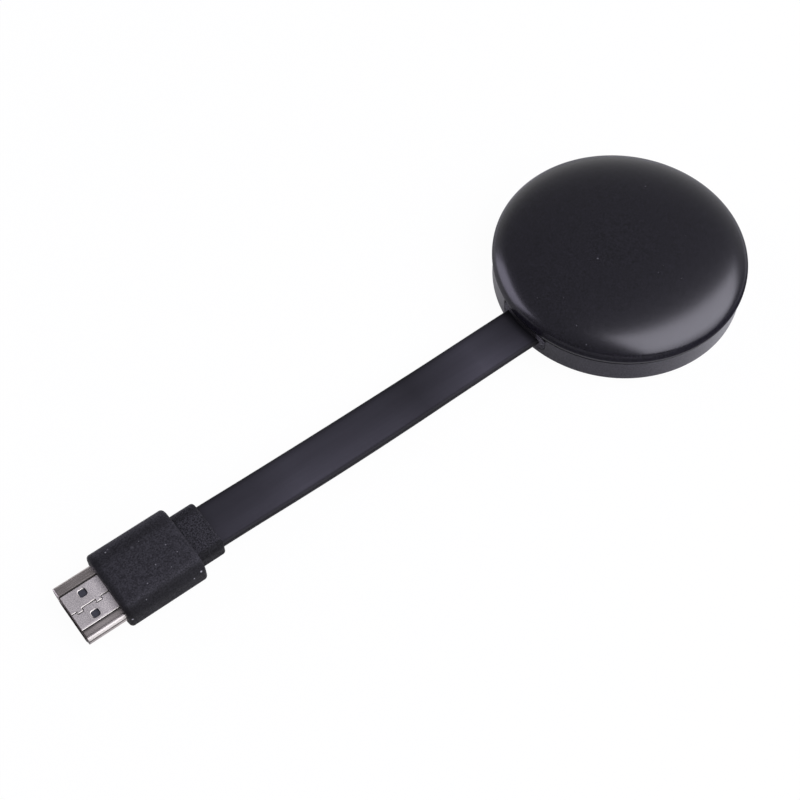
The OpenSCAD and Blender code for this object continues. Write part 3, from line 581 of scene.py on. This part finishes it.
# shade: painted light and shade, the relative tone at places along an axis (0 is x, 1 is y, 2 is
# z)
baseGrain = {"tint": rgb(0.0212, 0.0198, 0.0252), "size": 0.25, "level": 0.35, "roughness": 0.5,
             "depth": 0.02, "contrast": (0.6, 1.8),
             # painted sheen: a coat weight by x, and by y on the +Y side
             "sheen": [(-28, 0.3), (-25, 0.12), (-17, 0.08), (-10, 0.34), (-3, 0.65), (4, 1),
                       (28, 1)],
             "sheenAcross": [(4, 0), (8, 0.95), (28, 0.95)]}
# painted shade: the grommet darkened under the lid
grommetGrain = {"tint": rgb(0.037, 0.0355, 0.041), "size": 0.28, "level": 0.25, "roughness": 0.55,
                "depth": 0.04, "contrast": (0.1, 3.6),
                "shade": {1: [(-8, 1), (-4.9, 1), (-4.2, 0.2), (2, 0.1), (4, 0.4), (5.5, 1)]},
                "dust": [(-27.2, -5.9, 4.5, 0.2, 0.6), (-27.32, -6.1, 4, 0.14, 0.4),
                         (-27.45, -5.4, 4.9, 0.16, 0.5), (-27.1, -6.5, 3.6, 0.14, 0.3)]}
# painted shade on the plug's sides and at its front edge over the shell, a painted highlight along
# its rear edge
plugGrain = {"tint": rgb(0.0302, 0.0295, 0.034), "size": 0.33, "level": 0.12, "roughness": 0.5,
             "depth": 0.03, "contrast": (0.6, 1.72),
             "shade": {1: [(-9, 0.32), (-7.3, 0.36), (-6.6, 1), (-5, 0.95), (0, 0.9), (3, 0.85),
                           (4.4, 0.52), (5.4, 0.58), (6.5, 0.95)],
                       0: [(-133.2, 0.3), (-132.6, 0.4), (-131.8, 0.8), (-130, 0.9),
                           (-117, 0.9), (-116.4, 1)]},
             "dust": [(-129.7, 5.6, 8.38, 0.2, 0.4), (-129, 5.9, 8.3, 0.16, 0.3),
                      (-119.3, -0.1, 8.4, 0.18, 0.3), (-118.3, -2.8, 8.4, 0.15, 0.3),
                      (-116.5, -8.3, 6.2, 0.26, 0.9), (-118.3, -8.4, 5.5, 0.17, 0.7),
                      (-132.6, -8.4, 5.25, 0.24, 0.9), (-128.5, -7.5, 7.5, 0.16, 0.4),
                      (-126.6, -5.1, 8.4, 0.16, 0.35), (-123.2, -2.6, 8.4, 0.18, 0.3),
                      (-121, -4.9, 8.4, 0.13, 0.3), (-123.2, 3.7, 8.4, 0.13, 0.2),
                      (-124.9, 3.3, 8.4, 0.4, 0.06)]}
# painted shade on the neck's -Y side and in a band towards its +Y side
neckGrain = {"tint": rgb(0.026, 0.0255, 0.0295), "size": 0.3, "level": 0.12, "roughness": 0.5,
             "depth": 0.03, "contrast": (0.25, 2.1),
             "shade": {1: [(-6.1, 0.2), (-5.1, 0.3), (-4.7, 1), (-4, 0.95), (2.8, 0.9),
                           (3.8, 0.5), (4.3, 0.5), (5.2, 1)]}}
# painted light and shade along the cable, painted shade on its edges and where it leaves the lid
cableSkin = {"tint": rgb(0.056, 0.054, 0.0655), "level": 0.15, "roughness": 0.4,
             "streaks": 0.8, "stretch": (0.06, 1, 1), "fine": 0.2, "shares": (0.6, 0.4),
             "paler": 1.2, "rougher": 0.1, "relief": 0.006,
             "shade": {0: [(-112, 0.6), (-105, 0.6), (-97, 0.68), (-89, 0.89), (-81, 0.81),
                           (-73, 0.76), (-65, 0.69), (-57, 0.48), (-49, 0.7), (-41, 1),
                           (-36, 0.78), (-33, 0.66), (-29.8, 0.6), (-29, 0.35), (-28, 0.2)],
                       1: [(-5.3, 0.12), (-5, 0.2), (-4.7, 0.6), (-4.4, 1), (-3, 0.95),
                           (0, 0.76), (1, 0.71), (3, 0.7), (4, 0.6), (4.7, 0.35),
                           (5.3, 0.15)]}}
# level: depth under the top at which the matt panel ends; roughness: of strips and of panel;
# panel, rims, bright, strips, panelEdge and mouthAcross go by y, panelShade and mouth by x;
# bright and panelEdge are painted highlights, stripShade and panelShade painted shade
nickel = {"lines": 0.12, "stretch": (0.03, 1, 1), "speckle": 0.18,
          "speckled": [(0.41, 0), (0.59, 1)], "dull": 0.8, "roughness": (0.27, 0.5),
          "relief": 0.004, "level": [(0.008, 0), (0.001, 1)],
          "panel": [(-4.62, 0), (-4.58, 1), (3.9, 1), (3.98, 0)],
          "rims": [(-4.84, 0), (-4.78, 1), (3.6, 1), (3.8, 0)],
          "litSide": (0.6, -0.8, 0), "litFrom": [(-1, 0), (0.1, 0), (0.3, 1), (1, 1)],
          # bright: a painted highlight along the -Y side; strips: how dull the strips are, duller
          # under it
          "bright": [(-6.95, 0), (-6.93, 0), (-6.89, 1), (-6.48, 1), (-6.4, 0), (6.95, 0)],
          "strips": [(-6.95, 0), (-6.93, 0), (-6.89, 0.8), (-6.48, 0.8), (-6.4, 0.3),
                     (-4.6, 0.22), (4.6, 0.1), (6.5, 0.1)],
          # stripShade: painted shade along x, y and z
          "stripShade": {0: [(-141.8, 0.72), (-140, 0.77), (-138.5, 0.87), (-136, 0.88),
                             (-133.2, 1)],
                         1: [(-6.95, 0.72), (-6.93, 0.72), (-6.89, 0.88), (-6.48, 0.85),
                             (-6.4, 0.22), (-6.1, 0.3), (-5.95, 0.9), (-5.4, 0.95),
                             (-5.1, 0.85), (-5, 0.45), (-4.85, 0.45), (-4.7, 0.85), (3.8, 1),
                             (3.9, 0.2), (4.25, 0.2), (4.45, 1), (6, 1), (6.95, 0.8)],
                         2: [(3.9, 1), (4.05, 0.15), (4.3, 0.15), (4.45, 1)]},
          # panelShade and panelEdge: painted light and shade on the panel
          "panelShade": [(-141.8, 0.62), (-140.5, 0.6), (-139, 0.57), (-136.6, 0.68), (-135, 0.95),
                         (-133.2, 1)],
          "panelEdge": [(-4.6, 0.45), (-4.35, 0.4), (-4.1, 0), (3, 0)],
          "mouth": [(-141.8, 1), (-141.66, 1), (-141.54, 0)],
          "mouthAcross": [(-6.95, 1), (4, 1), (4.3, 0), (6.95, 0)]}

finishes = {
    "lid": lidPlastic(lidSkin),
    "base": grainPlastic("baseGrain", baseGrain),
    "grommet": grainPlastic("grommetGrain", grommetGrain),
    "plug": grainPlastic("plugGrain", plugGrain),
    "neck": grainPlastic("neckGrain", neckGrain),
    "cable": cableRubber(cableSkin),
    "shell": nickelPlate(nickel),
    "steel": metal("tinnedSteel", tone["steel"], roughness=0.35, grain=0.2),
    "gold": metal("goldPlate", tone["gold"], roughness=0.25, grain=0.2),
    "copper": metal("copperFoil", tone["copper"], roughness=0.35, grain=0.3),
    "board": plain("solderMask", tone["board"], roughness=0.35),
    "chip": plain("chipEpoxy", tone["chip"], roughness=0.55, grain=0.15),
    "ivory": plain("ivoryMoulding", tone["ivory"], roughness=0.5),
    "tan": plain("ceramic", tone["tan"], roughness=0.4),
    "pad": plain("padSilicone", tone["pad"], roughness=0.7),
    "core": plain("coreJacket", tone["core"], roughness=0.45),
    "inside": plain("insulatorBlack", tone["inside"], roughness=0.4),
    "insulator": plain("connectorInsulator", tone["insulator"], roughness=0.4),
    "clear": plain("clearAcrylic", tone["clear"], roughness=0.12, alpha=0.55),
}

nodeFinish = {
    "base_cover": "base", "cable_grommet": "grommet", "main_board": "board",
    "processor_chip": "chip", "memory_chips": "chip", "flash_chip": "chip", "power_chip": "chip",
    "wifi_shield_can": "steel", "clock_crystal": "steel", "power_inductors": "chip",
    "board_capacitors": "tan", "thermal_pad": "pad", "heat_spreader": "steel",
    "board_screws": "steel", "antenna_strip": "copper", "antenna_lead": "inside",
    "antenna_socket": "gold", "usb_shell": "steel", "usb_insulator": "inside",
    "usb_contacts": "gold", "button_cap": "base", "switch_plunger": "ivory",
    "switch_housing": "chip", "status_led": "ivory", "light_pipe": "clear",
    "cable_cores": "core", "plug_cores": "core", "plug_inner_mould": "ivory",
    "hdmi_rear_can": "steel", "hdmi_insulator": "insulator", "hdmi_upper_contacts": "gold",
    "hdmi_lower_contacts": "gold"}

for node, finish in nodeFinish.items():
    dress(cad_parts[node], finishes[finish])
print("materials made")

jacket, jacketPath = makeCable(finishes["cable"])
print("cable laid")

# Lid: the same curve as in the part's source, in finer steps, that tucks in towards the seam

lid = {"seam": 6.5, "skirt": 0.95, "tuck": 0.28, "tuckSteps": 8, "wall": 1.5, "rebate": 27.3,
       "ledge": 7.7, "crownPower": 2.1, "edgePower": 3.1, "crowding": 1.5, "steps": 90,
       "turns": 240}


def makeLid(material):
    high = boxOf("top_cover")[1]
    radius, top = high.x, high.z
    domeZ = lid["seam"] + lid["skirt"]
    dome = []
    for i in range(lid["steps"]):
        a = math.pi / 2 * (i / lid["steps"]) ** lid["crowding"]
        dome.append(Vector((radius * math.cos(a) ** (2 / lid["crownPower"]),
                            domeZ + (top - domeZ) * math.sin(a) ** (2 / lid["edgePower"]))))
    inside = []
    for i in range(1, len(dome) - 1):
        along = (dome[i + 1] - dome[i - 1]).normalized()
        point = dome[i] - Vector((along.y, -along.x)) * lid["wall"]
        if point.y > lid["ledge"]:
            inside.append(point)
    skirt = [(radius - lid["tuck"] * (1 - k / lid["tuckSteps"]) ** 2,
              lid["seam"] + lid["skirt"] * k / lid["tuckSteps"]) for k in range(lid["tuckSteps"])]
    profile = skirt + [tuple(p) for p in dome] + [(0, top), (0, top - lid["wall"])]
    profile += [tuple(p) for p in reversed(inside)]
    profile += [(radius - lid["wall"], lid["ledge"]), (lid["rebate"], lid["ledge"]),
                (lid["rebate"], lid["seam"])]
    return install(lathe("lidShell", profile, lid["turns"]), material, "lid_plastic", "top_cover")


makeLid(finishes["lid"])
print("lid turned")

# Plug: housing and neck as rounded blocks, with a slot in the neck where it grips the cable

plug = {"radius": 3.2, "edge": 0.8, "steps": 14, "edgeSteps": 7, "gap": 0.04}
neck = {"width": 12.2, "height": 5.3, "radius": 1.7, "edge": 0.7, "grip": 3, "inHousing": 1.5}


def softBlock(name, x0, x1, width, height, radius, edge, z):
    # block along X with rounded corners, whose two ends draw in over a quarter circle
    bends = []
    for k in range(plug["edgeSteps"] + 1):
        a = math.pi / 2 * (1 - k / plug["edgeSteps"])
        bends.append((edge * (1 - math.sin(a)), edge * (1 - math.cos(a))))
    places = [(x0 + run, inset) for run, inset in bends]
    places += [(x1 - run, inset) for run, inset in reversed(bends)]
    return loft(name, [ringAt(x, roundedBox(width - 2 * inset, height - 2 * inset,
                                            radius - inset, plug["steps"]), z)
                       for x, inset in places])


def makePlug(material, neckMaterial):
    low, high = boxOf("plug_housing")
    middle = (low.z + high.z) / 2
    housing = softBlock("plugHousing", low.x, high.x, high.y - low.y, high.z - low.z,
                        plug["radius"], plug["edge"], middle)
    install(housing, material, "plug_moulding", "plug_housing")
    neckEnd = boxOf("plug_neck")[1].x
    collar = softBlock("plugNeck", high.x - neck["inHousing"], neckEnd, neck["width"],
                       neck["height"], neck["radius"], neck["edge"], middle)
    slot = roundedBox(cable["width"] + 2 * plug["gap"], cable["thick"] + 2 * plug["gap"],
                      cable["edge"], cable["edgeSteps"])
    carve(collar, [prism("slot", neckEnd - neck["grip"], neckEnd + cutPast, slot, middle)])
    install(collar, neckMaterial, "plug_moulding", "plug_neck")
    return housing, collar


housingPiece, neckPiece = makePlug(finishes["plug"], finishes["neck"])
print("plug moulded")

# Metal shell of the connector

# windows: from the mouth and from the middle; lumps: the dovetails' places along the seam
shell = {"step": 0.12, "run": 0.2, "fall": 0.16, "wallHeight": 2.35, "narrow": 10.7,
         "panel": 9.16, "corners": (1, 0.75), "foot": 0.4, "fold": 0.5, "foldAngle": 35,
         "sheet": 0.35, "under": 0.4, "rim": 0.17, "rimSteps": 4, "cornerSteps": 6,
         "window": 1.6, "windowCorner": 0.5, "windows": ((4.12, -2.92), (4.3, 2.35)),
         "seam": 0.12, "seamAt": -0.35, "stagger": 0.2, "lumps": (1.9, 6.15),
         "lumpNeck": 1.1, "lumpHead": 1.4, "lumpDepth": 0.75, "lumpCorner": 0.2}


def shellOutline(width, height, inset):
    # the stepped section of the plug, drawn in by the inset; its upper corners differ
    top, bottom = height / 2 - inset, inset - height / 2
    wide, narrow = width / 2 - inset, shell["narrow"] / 2 - inset
    edge = top - shell["step"]
    side = edge - shell["fall"]
    angle = math.radians(shell["foldAngle"])
    fold = height / 2 - shell["wallHeight"] + inset * math.tan(math.pi / 4 - angle / 2)
    low = fold - (width - shell["narrow"]) / 2 * math.tan(angle)
    crease = shell["panel"] / 2
    outside, inside = shell["fold"] - inset, shell["fold"] + inset
    halves = []
    for radius in shell["corners"]:
        corner = max(radius - inset, shell["sheet"] / 2)
        halves.append([(crease, top, 0), (crease + shell["run"], edge, 0),
                       (wide, side, corner), (wide, fold, outside), (narrow, low, inside),
                       (narrow, bottom, shell["foot"])])
    return roundedOutline([(-y, z, r) for y, z, r in halves[0]] + halves[1][::-1],
                          shell["cornerSteps"])


def seamLine(x0, x1, shift):
    # the dovetailed line in which the two plates meet, as corners (x, y, radius)
    first, second = [x0 + spot for spot in shell["lumps"]]
    shift += shell["seamAt"]
    corner, deep = shell["lumpCorner"], shift - shell["lumpDepth"]
    line = [(x0, shift - shell["stagger"], 0)]
    for middle, before in ((first, shift - shell["stagger"]), (second, shift)):
        a, b = shell["lumpNeck"] / 2, shell["lumpHead"] / 2
        line += [(middle - a, before, corner), (middle - b, deep, corner),
                 (middle + b, deep, corner), (middle + a, shift, corner)]
    return line + [(x1, shift, 0)]


def makeShell(material):
    low, high = boxOf("hdmi_shell")
    width, height, middle = high.y - low.y, high.z - low.z, (low.z + high.z) / 2

    def section(x, inset):
        # the sheet on all sides but the top panel, whose edges lie over its ends
        outline = []
        for skin in (shellOutline(width, height, inset),
                     shellOutline(width, height, shell["sheet"])[::-1]):
            first, last = skin[1], skin[-2]
            inwards = Vector((math.copysign(shell["under"], last.x), 0))
            outline += [first + inwards] + skin[1:-1] + [last - inwards]
        return ringAt(x, outline, middle)

    rings = []
    for k in range(shell["rimSteps"] + 1):
        a = math.pi / 2 * k / shell["rimSteps"]
        rings.append(section(low.x + shell["rim"] * (1 - math.cos(a)),
                             shell["rim"] * (1 - math.sin(a))))
    fold = loft("fold", rings + [section(high.x, 0)])
    windows = []
    for place in shell["windows"]:
        spot = Vector((low.x, 0)) + Vector(place)
        windows.append([p + spot for p in roundedBox(shell["window"], shell["window"],
                                                     shell["windowCorner"],
                                                     shell["cornerSteps"])])
    carve(fold, [loft("window", [[(p.x, p.y, z) for p in window]
                                 for z in (low.z - cutPast, middle)]) for window in windows])
    edge, gap = shell["panel"] / 2, shell["seam"] / 2
    plates = []
    for side, window in zip((-1, 1), windows):
        corners = seamLine(low.x, high.x, side * gap)
        corners += [(high.x, side * edge, 0), (low.x, side * edge, 0)]
        outline = roundedOutline(corners, shell["cornerSteps"])
        plates.append(pressedPlate("plate", [outline, window], high.z - shell["sheet"], high.z,
                                   shell["rim"], shell["rimSteps"]))
    return install(merge("connectorShell", [fold] + plates), material, "nickel_shell",
                   "hdmi_shell")


shellPiece = makeShell(finishes["shell"])
print("connector shell folded")

# Cord

plugPieces = [housingPiece, neckPiece, shellPiece]
plugPieces += [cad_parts[n] for n in ("plug_cores", "plug_inner_mould", "hdmi_rear_can",
                                           "hdmi_insulator", "hdmi_upper_contacts",
                                           "hdmi_lower_contacts")]

# Studio: a pale floor, two soft boxes and a pale room that darkens overhead. The room's light is
# low near the floor, by the direction seen, and high overhead, and rise fades between the two

studio = {"floorSide": 4000, "floorShow": 0.96, "floorGlow": 1.005, "floorMirrored": 0.3,
          "paper": rgb(0.86, 0.86, 0.86), "paperRoughness": 0.9, "white": rgb(1, 1, 1),
          "brightSide": (0.6, 0.8, 0),
          "low": [(-1, 0.1), (0.3, 0.1), (0.65, 0.45), (1, 1)],
          "rise": [(0, 1), (0.3, 0.7), (0.6, 0), (1, 0)], "high": 0.12}
# azimuth from +X towards +Y and elevation of each lamp's middle, its roll about the line to it,
# and the tangents of its half sizes
lamps = {
    "key": {"azimuth": -59.5, "elevation": 43.8, "roll": 51.2, "far": 1100,
            "halves": (0.765, 0.624), "glow": 2.97, "tint": (0.97, 0.95, 1.09)},
    "left": {"azimuth": 130, "elevation": 18, "roll": 0, "far": 1100, "halves": (0.36, 0.5),
             "glow": 2.1, "tint": (0.97, 0.92, 1.18)},
}


def makeFloor():
    # white paper, which the camera and mirroring pieces see with an even glow of its own
    paint = Paint("floorPaper")
    seen, glossy, through = [paint.node("ShaderNodeLightPath", output=name)
                             for name in ("Is Camera Ray", "Is Glossy Ray", "Is Transmission Ray")]
    shown = (seen + through) * studio["floorShow"] + glossy * studio["floorMirrored"]
    glow = paint.node("ShaderNodeEmission",
                      inputs={"Color": studio["white"], "Strength": studio["floorGlow"]})
    paper = paint.finish(baseColor=studio["paper"], roughness=studio["paperRoughness"])
    both = paint.node("ShaderNodeMixShader",
                      inputs={0: shown, 1: Wire(paint, paint.shader.outputs[0]), 2: glow})
    paint.feed(paint.tree.nodes["Material Output"].inputs["Surface"], both)
    half = studio["floorSide"] / 2
    floor = newPiece("floor", [(-half, -half, 0), (half, -half, 0), (half, half, 0),
                               (-half, half, 0)], [(0, 1, 2, 3)])
    dress(floor, paper)


def makeLamp(name, lamp):
    light = bpy.data.lights.new(name, "AREA")
    light.shape = "RECTANGLE"
    light.size, light.size_y = [2 * half * lamp["far"] * mm for half in lamp["halves"]]
    light.energy = lamp["glow"] * math.pi * light.size * light.size_y
    light.color = lamp["tint"]
    holder = bpy.data.objects.new(name, light)
    bpy.context.scene.collection.objects.link(holder)
    turn, rise = math.radians(lamp["azimuth"]), math.radians(lamp["elevation"])
    towards = Vector((math.cos(turn) * math.cos(rise), math.sin(turn) * math.cos(rise),
                      math.sin(rise)))
    aim = towards.to_track_quat("Z", "Y").to_matrix().to_4x4()
    roll = Matrix.Rotation(math.radians(lamp["roll"]), 4, "Z")
    holder.matrix_world = Matrix.Translation(towards * lamp["far"] * mm) @ aim @ roll
    holder.visible_camera = False


def makeWorld():
    world = bpy.data.worlds.new("room")
    bpy.context.scene.world = world
    paint = Paint("room", world)
    towards = paint.node("ShaderNodeTexCoord", output="Generated")
    height = paint.node("ShaderNodeSeparateXYZ", inputs={"Vector": towards}, output="Z")
    side = paint.node("ShaderNodeVectorMath", {"operation": "DOT_PRODUCT"},
                      {0: towards, 1: studio["brightSide"]}, output="Value")
    near = paint.profile(height, studio["rise"])
    glow = near * paint.profile(side, studio["low"]) + (1 - near) * studio["high"]
    seen = paint.node("ShaderNodeLightPath", output="Is Camera Ray")
    background = paint.tree.nodes["Background"]
    paint.feed(background.inputs["Color"], paint.blend(seen, glow, studio["white"]))
    paint.feed(background.inputs["Strength"], 1)


makeFloor()
makeWorld()
for name, lamp in lamps.items():
    makeLamp(name, lamp)
bpy.context.scene.view_settings.view_transform = "Standard"
print("studio lit")
